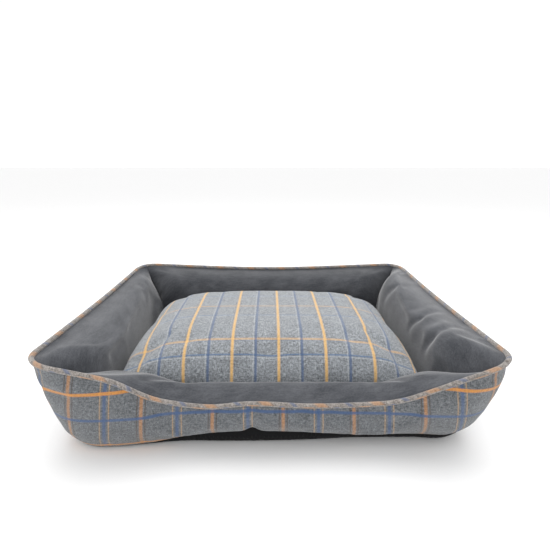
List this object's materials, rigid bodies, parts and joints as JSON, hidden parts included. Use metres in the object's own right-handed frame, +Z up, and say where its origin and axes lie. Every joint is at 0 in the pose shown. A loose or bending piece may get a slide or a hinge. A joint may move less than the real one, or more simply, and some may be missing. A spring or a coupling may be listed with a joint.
{
  "type": "pet cushion bed",
  "caption": "Rectangular pet bed with stuffed bolster walls, a scooped front entrance, piped rim and a loose zipped cushion.",
  "frame": {"origin": "centre of the bed's footprint, on the floor", "axes": "+Z up, +X along the bed's long side to the viewer's right, -Y towards the scooped front"},
  "size_m": [0.7, 0.605, 0.1758],
  "materials": {
    "plaid_wall": "woven tweed plaid",
    "plaid_cushion": "woven tweed plaid, brushed",
    "charcoal_suede": "short brushed pile",
    "cushion_underside": "plain weave",
    "base_cloth": "coarse non-slip cloth",
    "lining_cloth": "plain weave",
    "wadding": "loose fibre",
    "liner_cloth": "non-woven",
    "cotton_cord": "twisted cotton",
    "zip_tape": "woven tape",
    "zip_coil": "moulded",
    "zip_metal": "satin"
  },
  "bodies": {
    "bed": {"base_panel": "base_cloth", "base_pad": "wadding", "base_lining": "lining_cloth", "piping_cover": "plaid_wall", "piping_cord": "cotton_cord", "bolster_fill_front": "wadding", "inner_panel_front": "charcoal_suede", "outer_panel_front": "plaid_wall", "bolster_fill_back": "wadding", "inner_panel_back": "charcoal_suede", "outer_panel_back": "plaid_wall", "bolster_fill_left": "wadding", "inner_panel_left": "charcoal_suede", "outer_panel_left": "plaid_wall", "bolster_fill_right": "wadding", "inner_panel_right": "charcoal_suede", "outer_panel_right": "plaid_wall"},
    "cushion": {"cushion_top_panel": "plaid_cushion", "cushion_bottom_panel": "cushion_underside", "cushion_liner": "liner_cloth", "cushion_fill": "wadding", "zip_tapes": "zip_tape", "zip_coil": "zip_coil", "zip_stops": "zip_metal"},
    "zip_slider": {"zip_slider": "zip_metal"},
    "zip_pull": {"zip_pull": "zip_metal"}
  },
  "joints": [
    {"name": "cushion_lift", "type": "slide", "parent": "bed", "child": "cushion", "axis": [0, 0, 1], "range_m": [0, 0.2]},
    {"name": "zip_slide", "type": "slide", "parent": "cushion", "child": "zip_slider", "axis": [1, 0, 0], "range_m": [0, 0.37]},
    {"name": "zip_pull_hinge", "type": "hinge", "parent": "zip_slider", "child": "zip_pull", "pos_m": [-0.18715, 0.19433, 0.03373], "axis": [0, 0.5156, 0.8568], "range_deg": [0, 175]}
  ]
}
